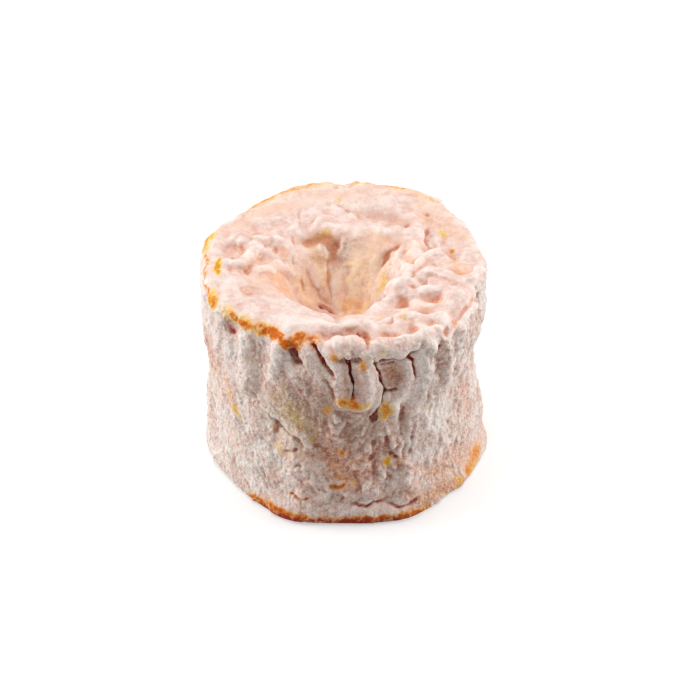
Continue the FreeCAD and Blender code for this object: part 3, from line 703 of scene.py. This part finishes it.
class Wheel:
    """Where every vertex of a skin lies on the wheel."""

    def __init__(self, places):
        self.x, self.y, self.z = places.T
        self.radius = np.hypot(self.x, self.y)
        self.bearing = np.degrees(np.arctan2(self.x, -self.y))
        self.on_wall = above(self.radius, SHELF_RADIUS + 1.0, 2.0)
        self.on_top = np.maximum(above(self.z, 52.0, 3.0), self.radius < SHELF_RADIUS) * (self.z > UPPER_PART)
        self.at_left = below(self.bearing, -26.0, 14.0) * above(self.bearing, -130.0, 40.0)

    def near_top(self, path):
        """Distance from a path of (x, y) on the top, and how far along it."""
        return along_path(self.x, self.y, path)

    def near_wall(self, path):
        """The same for a path of (bearing, height) on the wall, measured along the wall."""
        middle = path[0][0]
        turn = (self.bearing - middle + 180.0) % 360.0 - 180.0
        unrolled = [(math.radians(bearing - middle) * WALL_RADIUS, height) for bearing, height in path]
        return along_path(np.radians(turn) * WALL_RADIUS, self.z, unrolled)

    def mark(self, near, half_width, path, shape, least):
        """The shape drawn along a path, fading to its least at the ends."""
        away, along = near(path)
        return shape(away / half_width) * tapered(along, least)


def marks_lift(wheel):
    """The folds, hollows, slits and creases, as a height above the skin."""
    top, wall = wheel.near_top, wheel.near_wall
    lift = np.zeros(len(wheel.z))
    for marks, near, where, shape, least in (
            (TOP_FOLDS, top, wheel.on_top, pillow, 0.5), (TOP_HOLLOWS, top, wheel.on_top, hump, 0.7),
            (TOP_CREASES, top, wheel.on_top, hump, 0.3), (WALL_FOLDS, wall, wheel.on_wall, pillow, 0.5),
            (WALL_LIPS, wall, wheel.on_wall, hump, 1.0), (WALL_HOLLOWS, wall, wheel.on_wall, hump, 0.7),
            (WALL_SLITS, wall, wheel.on_wall, hump, 0.3), (WALL_CREASES, wall, wheel.on_wall, hump, 0.2)):
        for half_width, rise, path in marks:
            lift += rise * wheel.mark(near, half_width, path, shape, least) * where
    return lift


def stain(wheel, name):
    """How strongly each vertex carries a stain."""
    amount = np.zeros(len(wheel.z))
    for stains, near, where in ((TOP_STAINS, wheel.near_top, wheel.on_top),
                                (WALL_STAINS, wheel.near_wall, wheel.on_wall)):
        for half_width, strength, path in stains.get(name, ()):
            amount = np.maximum(amount, strength * wheel.mark(near, half_width, path, hump, 0.5) * where)
    return amount


def leaned(places):
    """Places turned round the axis by their height, so that wrinkles run down to one side."""
    x, y, z = places.T
    turn = np.arctan2(x, -y) + np.minimum(z, 42.0) / WALL_RADIUS
    radius = np.hypot(x, y)
    return np.stack([radius * np.sin(turn), -radius * np.cos(turn), z], axis=1)


def top_wrinkles(base, slow):
    """Soft wrinkles of the shelf and the funnel."""
    places = warped(base, 8.0, 2.0, 11)
    lift = slow * (billows(places, TOP_CELLS) + billows(places, TOP_PUCKERS))
    lively = np.ones(len(base))
    for x, y, radius, over in CALM_SPOTS:
        lively *= above(np.hypot(base[:, 0] - x, base[:, 1] - y), radius, over)
    return lift * (0.35 + 0.65 * lively)


def wall_wrinkles(base, wheel, slow):
    """Wrinkles of the wall: upright above, slanting at the left, crumpled below, faint between the pleats."""
    height = base[:, 2]
    places = warped(warped(base, 7.0, 1.2, 31), 3.6, 0.7, 38)
    slanting = below(wheel.bearing, -12.0, 25.0) * above(wheel.bearing, -170.0, 40.0)
    upright = 0.6 + 0.5 * above(height, 24.0, 20.0)
    crumpled = 1.0 + 0.5 * below(height, 34.0, 12.0) * below(np.abs(wheel.bearing), 40.0, 30.0)
    crumpled *= 0.3 + 0.7 * above(height, 2.0, 14.0)
    pleats = below(np.abs(wheel.bearing - 8.0), 26.0, 8.0) * above(height, 34.0, 5.0)

    lift = upright * (1.0 - 0.7 * wheel.at_left) * billows(places, WALL_PLEATS)
    lift += crumpled * slow * (1.0 - slanting) * billows(places, WALL_PUCKERS)
    calm = 1.0 - 0.5 * above(height, 34.0, 8.0)
    lift += slow * slanting * calm * billows(leaned(warped(places, 4.0, 1.0, 37)), WALL_SLANTS)
    lift += crumpled * (1.0 - 0.5 * wheel.at_left) * billows(warped(places, 5.0, 1.4, 45), WALL_CRUMPLES)
    lift += billows(warped(base, 3.0, 0.8, 35), WALL_CRACKLE)
    return lift * (1.0 - 0.75 * pleats)


def carve(skin):
    """Makes the smooth skin's folds, wrinkles and grain, and tells where on the wheel each vertex was."""
    skin.places = skin.softened(2)
    flatness = skin.normals()[:, 2]
    wall_share = 1.0 - above(flatness, 0.25, 0.4)
    base = skin.places.copy()
    wheel = Wheel(warped(base, 2.5, 0.5, 41))
    standing = above(base[:, 2], 0.0, 1.5) * above(flatness, -0.9, 0.3)
    skin.push(marks_lift(wheel) * standing, 4)

    slow = 0.4 + 0.6 * ease(0.5 + 0.5 * gradient_noise(base / 10.0, 15))
    wrinkles = (1.0 - wall_share) * top_wrinkles(base, slow) + wall_share * wall_wrinkles(base, wheel, slow)
    swells = 0.3 * gradient_noise(base / 9.0, 16) * wall_share
    skin.push((wrinkles + swells) * standing, 3)

    grain = 0.06 * gradient_noise(base / 0.95, 51) + 0.04 * gradient_noise(base / 0.55, 52)
    skin.push(grain * standing * (0.3 + 0.7 * wall_share))
    lowest, highest = (np.array(corner) / MM for corner in CAD_BOX)
    skin.places = np.clip(skin.places, lowest, highest)
    return wheel, wall_share


def sunken(skin, rounds):
    """How far each vertex lies under the skin softened over that many rounds, in millimetres."""
    return np.einsum("ij,ij->i", skin.softened(rounds) - skin.places, skin.normals())


def disc(x, y, layout):
    """Places seen from above, laid on the map round a middle."""
    across, up, span = layout
    return np.stack([across + x / span, up + y / span], axis=2)


def unwrap(skin):
    """Lays out one map: the wall unrolled along the bottom, the top and the base as discs."""
    corner = skin.places[skin.quads]
    x, y, z = np.moveaxis(corner, 2, 0)
    middle = corner.mean(axis=1)
    radius = np.hypot(middle[:, 0], middle[:, 1])
    slope = skin.normals()[skin.quads].mean(axis=1)[:, 2]
    on_top = (middle[:, 2] > UPPER_PART) & ((radius < SHELF_RADIUS) | (slope > 0.5))
    under = (middle[:, 2] < 4.0) & (slope < -0.5)
    bearing = np.degrees(np.arctan2(x, -y)) + 180.0
    split = bearing.max(axis=1) - bearing.min(axis=1) > 180.0
    bearing += 360.0 * (split[:, None] & (bearing < 180.0))
    spread = np.stack([bearing, z], axis=2) / MAP_WALL + MAP_CORNER
    spread[on_top] = disc(x, y, MAP_TOP)[on_top]
    spread[under] = disc(x, y, MAP_BASE)[under]
    layer = skin.mesh.uv_layers.new(name="OFBake")
    layer.data.foreach_set("uv", spread.ravel().astype(np.float32))


def describe(skin, wheel, wall_share):
    """Works out the masks that the material reads."""
    fine, broad = sunken(skin, 12), sunken(skin, 90)
    pale = 1.0 - 0.45 * wall_share * wheel.at_left
    # Painted shade: creases and broad hollows darkened by how deep they lie under the softened skin, less on
    # the left wall.
    skin.store("crease_shade", pale * (0.8 * ease(fine / 0.28) + 0.5 * ease(broad / 1.3)))
    # Crowns of the folds made whiter: partly white mould, partly painted highlight.
    skin.store("ridge_bloom_and_highlight", 0.6 * ease(-fine / 0.2) + 0.5 * ease(-broad / 0.7))
    skin.store("wall", wall_share)
    for name in {**TOP_STAINS, **WALL_STAINS}:
        skin.store(name, stain(wheel, name))


# ---- materials ----


def shown(red, green, blue):
    """A colour given as it shows on a screen, 0 to 255, turned into the light it stands for."""
    parts = (part / 255.0 for part in (red, green, blue))
    return tuple(part / 12.92 if part <= 0.04045 else ((part + 0.055) / 1.055) ** 2.4 for part in parts)


class Nodes:
    """Short names for the nodes of one material."""

    def __init__(self, name):
        self.material = bpy.data.materials.new(name)
        self.material.use_nodes = True
        self.tree = self.material.node_tree
        self.shader = self.tree.nodes["Principled BSDF"]
        coordinates = self.tree.nodes.new("ShaderNodeTexCoord")
        to_mm = self.tree.nodes.new("ShaderNodeVectorMath")
        to_mm.operation = "SCALE"
        to_mm.inputs["Scale"].default_value = 1.0 / MM
        self.tree.links.new(coordinates.outputs["Object"], to_mm.inputs[0])
        self.place = to_mm.outputs[0]

    def feed(self, socket, value):
        """Links an output to a socket, or sets the socket's own value."""
        if isinstance(value, bpy.types.NodeSocket):
            self.tree.links.new(value, socket)
        elif socket.type == "RGBA":
            socket.default_value = (*value, 1.0)
        else:
            socket.default_value = value

    def surface(self, values):
        """Feeds the surface's inputs by name."""
        for name, value in values.items():
            self.feed(self.shader.inputs[name], value)

    def attribute(self, name):
        """A number stored on the mesh."""
        node = self.tree.nodes.new("ShaderNodeAttribute")
        node.attribute_name = name
        return node.outputs["Fac"]

    def texture(self, kind, size):
        """A texture with features of the given size in millimetres."""
        node = self.tree.nodes.new(kind)
        self.feed(node.inputs["Vector"], self.place)
        self.feed(node.inputs["Scale"], 1.0 / size)
        return node

    def noise(self, size, detail, roughness):
        """Cloudy noise from 0 to 1."""
        node = self.texture("ShaderNodeTexNoise", size)
        self.feed(node.inputs["Detail"], detail)
        self.feed(node.inputs["Roughness"], roughness)
        return node.outputs["Fac"]

    def grains(self, size):
        """Distance from scattered grains."""
        return self.texture("ShaderNodeTexVoronoi", size).outputs["Distance"]

    def between(self, value, low, high, to_low=0.0, to_high=1.0):
        """Spreads the stretch from low to high smoothly over to_low to to_high."""
        node = self.tree.nodes.new("ShaderNodeMapRange")
        node.interpolation_type = "SMOOTHSTEP"
        for name, number in zip(("Value", "From Min", "From Max", "To Min", "To Max"),
                                (value, low, high, to_low, to_high)):
            self.feed(node.inputs[name], number)
        return node.outputs["Result"]

    def worked(self, operation, a, b):
        """Two numbers put through one operation."""
        node = self.tree.nodes.new("ShaderNodeMath")
        node.operation = operation
        self.feed(node.inputs[0], a)
        self.feed(node.inputs[1], b)
        return node.outputs[0]

    def times(self, a, b):
        return self.worked("MULTIPLY", a, b)

    def larger(self, a, b):
        return self.worked("MAXIMUM", a, b)

    def mix(self, amount, a, b):
        """A colour that goes from one to the other as the amount goes from 0 to 1."""
        node = self.tree.nodes.new("ShaderNodeMix")
        node.data_type = "RGBA"
        colour_sockets = [socket for socket in node.inputs if socket.type == "RGBA"]
        self.feed(node.inputs["Factor"], amount)
        self.feed(colour_sockets[0], a)
        self.feed(colour_sockets[1], b)
        return next(socket for socket in node.outputs if socket.type == "RGBA")


def rind_material(look):
    """Pink paste under a pale bloom, with painted shade in the creases and hollows, white mould and painted
    highlight on the crowns of the folds, and stains of gold and orange.
    """
    n = Nodes("washed_rind")
    wall = n.attribute("wall")
    blotch = n.noise(7.0, 3.0, 0.6)
    patch = n.noise(2.6, 3.0, 0.6)
    fleck = n.noise(1.1, 3.0, 0.65)
    grain = n.grains(1.0)

    top = n.mix(n.between(patch, 0.4, 0.62), look.top_pink, look.top_cream)
    side = n.mix(n.between(blotch, 0.38, 0.6), look.wall_mauve, look.wall_grey)
    side = n.mix(n.between(patch, 0.52, 0.66, 0.0, 0.4), side, look.rose)
    colour = n.mix(wall, top, side)
    # Broad stains; some brown and rose ones lay painted shade in hollows, round slits and under the rolled
    # edge.
    for name in ("peach", "amber", "rose", "dusk", "olive", "brown"):
        amount = n.times(n.attribute(name), n.between(patch, 0.36, 0.58, 0.55, 1.2))
        colour = n.mix(amount, colour, getattr(look, name))

    # Painted shade in the creases: tan on the top, brown on the wall.
    crease_shade = n.times(n.attribute("crease_shade"), n.between(fleck, 0.3, 0.6, 0.5, 1.0))
    colour = n.mix(crease_shade, colour, n.mix(wall, look.painted_shade_tan, look.painted_shade_and_pore_brown))
    # White mould and painted highlight on the crowns of the folds.
    ridge_bloom_and_highlight = n.times(n.attribute("ridge_bloom_and_highlight"), n.between(patch, 0.3, 0.6, 0.35, 0.8))
    colour = n.mix(n.larger(ridge_bloom_and_highlight, n.attribute("bloom")), colour, look.bloom)
    bare = n.larger(n.times(wall, 0.34), n.times(n.attribute("rose"), 0.9))
    bare = n.times(n.larger(bare, 0.12), n.between(blotch, 0.38, 0.62, 1.25, 0.45))
    pores = n.times(n.between(fleck, 0.46, 0.62), bare)
    colour = n.mix(pores, colour, look.painted_shade_and_pore_brown)
    dust = n.noise(0.5, 2.0, 0.6)
    shade = n.between(wall, 0.0, 1.0, 0.08, 0.25)
    colour = n.mix(n.times(n.between(dust, 0.5, 0.66), shade), colour, look.painted_shade_and_pore_brown)
    colour = n.mix(n.times(n.between(dust, 0.48, 0.34), shade), colour, look.bloom)

    ragged = n.times(n.between(n.noise(0.8, 3.0, 0.7), 0.3, 0.7, 0.7, 1.25),
                     n.between(n.noise(3.2, 2.0, 0.5), 0.36, 0.56, 0.6, 1.1))
    for name in ("gold", "orange"):
        amount = n.times(n.attribute(name), ragged)
        colour = n.mix(n.between(amount, 0.05, 0.75, 0.0, 0.9), colour, getattr(look, name))
        colour = n.mix(n.between(amount, 0.4, 1.05, 0.0, 0.95), colour, getattr(look, name + "_deep"))
    # Dark red in the slits, and the painted shadow along the foot.
    amount = n.times(n.attribute("maroon_and_foot_shadow"), ragged)
    colour = n.mix(n.between(amount, 0.1, 0.95), colour, look.maroon_and_foot_shadow)
    dots = n.times(n.between(grain, 0.12, 0.42, 1.0, 0.0), n.between(patch, 0.35, 0.6, 0.15, 0.7))
    dots = n.times(dots, n.between(n.attribute("orange"), 0.2, 0.7, 1.0, 0.3))
    colour = n.mix(n.times(dots, n.between(wall, 0.0, 1.0, 0.15, 0.6)), colour, look.bloom)

    height = n.worked("ADD", n.times(n.between(grain, 0.0, 0.6, 1.0, 0.0), 0.5), n.times(fleck, 0.5))
    bump = n.tree.nodes.new("ShaderNodeBump")
    n.feed(bump.inputs["Strength"], n.between(wall, 0.0, 1.0, 0.35, 0.8))
    n.feed(bump.inputs["Distance"], 0.35 * MM)
    n.feed(bump.inputs["Height"], height)
    n.surface({
        "Base Color": colour, "Normal": bump.outputs[0], "Roughness": 0.75, "Specular IOR Level": 0.12,
        "Subsurface Weight": 0.2, "Subsurface Radius": (0.8, 0.45, 0.3), "Subsurface Scale": 0.9 * MM})
    return n.material


def floor_material():
    """White card that shows white to the camera, keeps a shadow and fades into the white surroundings."""
    n = Nodes("white_floor")
    path = n.tree.nodes.new("ShaderNodeLightPath")
    length = n.tree.nodes.new("ShaderNodeVectorMath")
    length.operation = "LENGTH"
    n.feed(length.inputs[0], n.place)
    glow = n.between(length.outputs["Value"], *FLOOR_GLOW_REACH, *FLOOR_GLOW)
    n.surface({
        "Base Color": (0.6, 0.6, 0.6), "Roughness": 0.9, "Specular IOR Level": 0.1,
        "Emission Color": (1.0, 1.0, 1.0), "Emission Strength": n.times(path.outputs["Is Camera Ray"], glow)})
    return n.material


# ---- add-on ----


def tint(label, *colour):
    """A colour that a user can change."""
    return bpy.props.FloatVectorProperty(
        name=label, subtype="COLOR", min=0.0, max=1.0, default=shown(*colour))


class CheeseLook(bpy.types.PropertyGroup):
    """Sizes and colours of the rind."""

    cell: bpy.props.FloatProperty(name="Spacing of the mesh", default=0.37 * MM, unit="LENGTH", precision=5)
    top_pink: tint("Damp pink of the top", 228, 195, 183)
    top_cream: tint("Paler cream of the top", 237, 217, 208)
    # Also the painted highlight on the crowns of the folds.
    bloom: tint("White mould on the crowns of the folds", 246, 234, 226)
    wall_grey: tint("Dusty grey of the wall", 236, 228, 221)
    wall_mauve: tint("Pinker mould on the wall", 224, 202, 190)
    # Painted shade in the creases of the top.
    painted_shade_tan: tint("Tan in shallow creases", 222, 152, 118)
    # Painted shade in the creases of the wall; also the colour of the dark pores and specks.
    painted_shade_and_pore_brown: tint("Brown in deep creases", 160, 94, 72)
    peach: tint("Warm paste where the bloom is thin", 239, 185, 149)
    amber: tint("Yellower paste inside the hollow", 255, 221, 178)
    rose: tint("Bare pink rind low on the wall", 228, 166, 138)
    dusk: tint("Greyer mould in the middle of the wall", 180, 147, 128)
    # Also painted shade in the hollows, round the slits, creases and pits, and under the rolled edge.
    brown: tint("Bare brown rind in the hollows", 200, 144, 108)
    olive: tint("Greenish stains", 204, 174, 112)
    gold: tint("Thin golden stain", 240, 196, 70)
    gold_deep: tint("Thick golden stain", 214, 140, 10)
    orange: tint("Thin orange smear", 232, 156, 66)
    orange_deep: tint("Thick orange smear", 198, 94, 6)
    # Also the painted shadow along the foot.
    maroon_and_foot_shadow: tint("Dark red in the slits", 166, 56, 38)


class CHEESE_OT_rind(bpy.types.Operator):
    """Makes the wrinkled rind over the wheel's solid"""

    bl_idname = "cheese.rind"
    bl_label = "Rind"

    def execute(self, context):
        look = context.scene.cheese_look
        rind = bpy.data.objects.new("rind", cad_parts[NODE].data.copy())
        context.scene.collection.objects.link(rind)
        remesh = rind.modifiers.new("even mesh", "REMESH")
        remesh.mode = "VOXEL"
        remesh.voxel_size = look.cell
        context.view_layer.update()
        even = bpy.data.meshes.new_from_object(rind.evaluated_get(context.evaluated_depsgraph_get()))
        rind.modifiers.clear()
        rind.data = even
        skin = Skin(even)
        describe(skin, *carve(skin))
        unwrap(skin)
        skin.write()
        even.materials.clear()
        even.materials.append(rind_material(look))
        even.shade_smooth()
        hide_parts(NODE)
        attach(rind, "root")
        return {"FINISHED"}


class CHEESE_OT_stage(bpy.types.Operator):
    """Makes the floor, the lamps, the world and the camera"""

    bl_idname = "cheese.stage"
    bl_label = "Stage"

    def execute(self, context):
        scene = context.scene
        scene.view_settings.view_transform = "Standard"
        floor_mesh = bpy.data.meshes.new("floor")
        corners = [(x * FLOOR_HALF, y * FLOOR_HALF, 0) for x, y in ((-1, -1), (1, -1), (1, 1), (-1, 1))]
        floor_mesh.from_pydata(corners, [], [(0, 1, 2, 3)])
        floor = bpy.data.objects.new("floor", floor_mesh)
        scene.collection.objects.link(floor)
        floor_mesh.materials.append(floor_material())
        light_world(scene)
        for name, place, power in LAMPS:
            lamp(scene, name, place, power)
        camera(scene)
        return {"FINISHED"}


def light_world(scene):
    """White surroundings, full white only to the camera."""
    world = bpy.data.worlds.new("light tent")
    scene.world = world
    world.use_nodes = True
    nodes, links = world.node_tree.nodes, world.node_tree.links
    nodes.clear()
    path = nodes.new("ShaderNodeLightPath")
    mix = nodes.new("ShaderNodeMixShader")
    links.new(path.outputs["Is Camera Ray"], mix.inputs[0])
    for socket, strength in ((mix.inputs[1], WORLD_LIGHT), (mix.inputs[2], 1.0)):
        white = nodes.new("ShaderNodeBackground")
        white.inputs["Strength"].default_value = strength
        white.inputs["Color"].default_value = (1, 1, 1, 1)
        links.new(white.outputs[0], socket)
    output = nodes.new("ShaderNodeOutputWorld")
    links.new(mix.outputs[0], output.inputs["Surface"])


def lamp(scene, name, place, power):
    """A square softbox turned to the wheel."""
    light = bpy.data.lights.new(name, "AREA")
    light.size = LAMP_SIZE
    light.energy = power
    light_object = bpy.data.objects.new(name, light)
    light_object.location = place
    light_object.rotation_euler = (Vector(LAMP_AIM) - Vector(place)).to_track_quat("-Z", "Y").to_euler()
    scene.collection.objects.link(light_object)


def camera(scene):
    """Looks down on the wheel from the front."""
    elevation = math.radians(CAMERA_ELEVATION)
    back, up = CAMERA_DISTANCE * math.cos(elevation), CAMERA_DISTANCE * math.sin(elevation)
    lens = bpy.data.cameras.new("camera")
    lens.sensor_width = SENSOR_WIDTH
    lens.lens = LENS
    holder = bpy.data.objects.new("camera", lens)
    holder.location = Vector(CAMERA_AIM) + Vector((0.0, -back, up))
    holder.rotation_euler = (math.radians(90.0) - elevation, 0.0, 0.0)
    scene.collection.objects.link(holder)
    scene.camera = holder


class CHEESE_PT_panel(bpy.types.Panel):
    """Lists the makers in the sidebar"""

    bl_label = "Cheese wheel"
    bl_space_type = "VIEW_3D"
    bl_region_type = "UI"
    bl_category = "Cheese"

    def draw(self, context):
        for operator in MAKERS:
            self.layout.operator(operator.bl_idname)


MAKERS = (CHEESE_OT_rind, CHEESE_OT_stage)
CLASSES = (CheeseLook, *MAKERS, CHEESE_PT_panel)


def register():
    for cls in CLASSES:
        bpy.utils.register_class(cls)
    bpy.types.Scene.cheese_look = bpy.props.PointerProperty(type=CheeseLook)


def unregister():
    del bpy.types.Scene.cheese_look
    for cls in reversed(CLASSES):
        bpy.utils.unregister_class(cls)


def main():
    register()
    bpy.ops.cheese.rind()
    bpy.ops.cheese.stage()


if __name__ == "__main__":
    main()
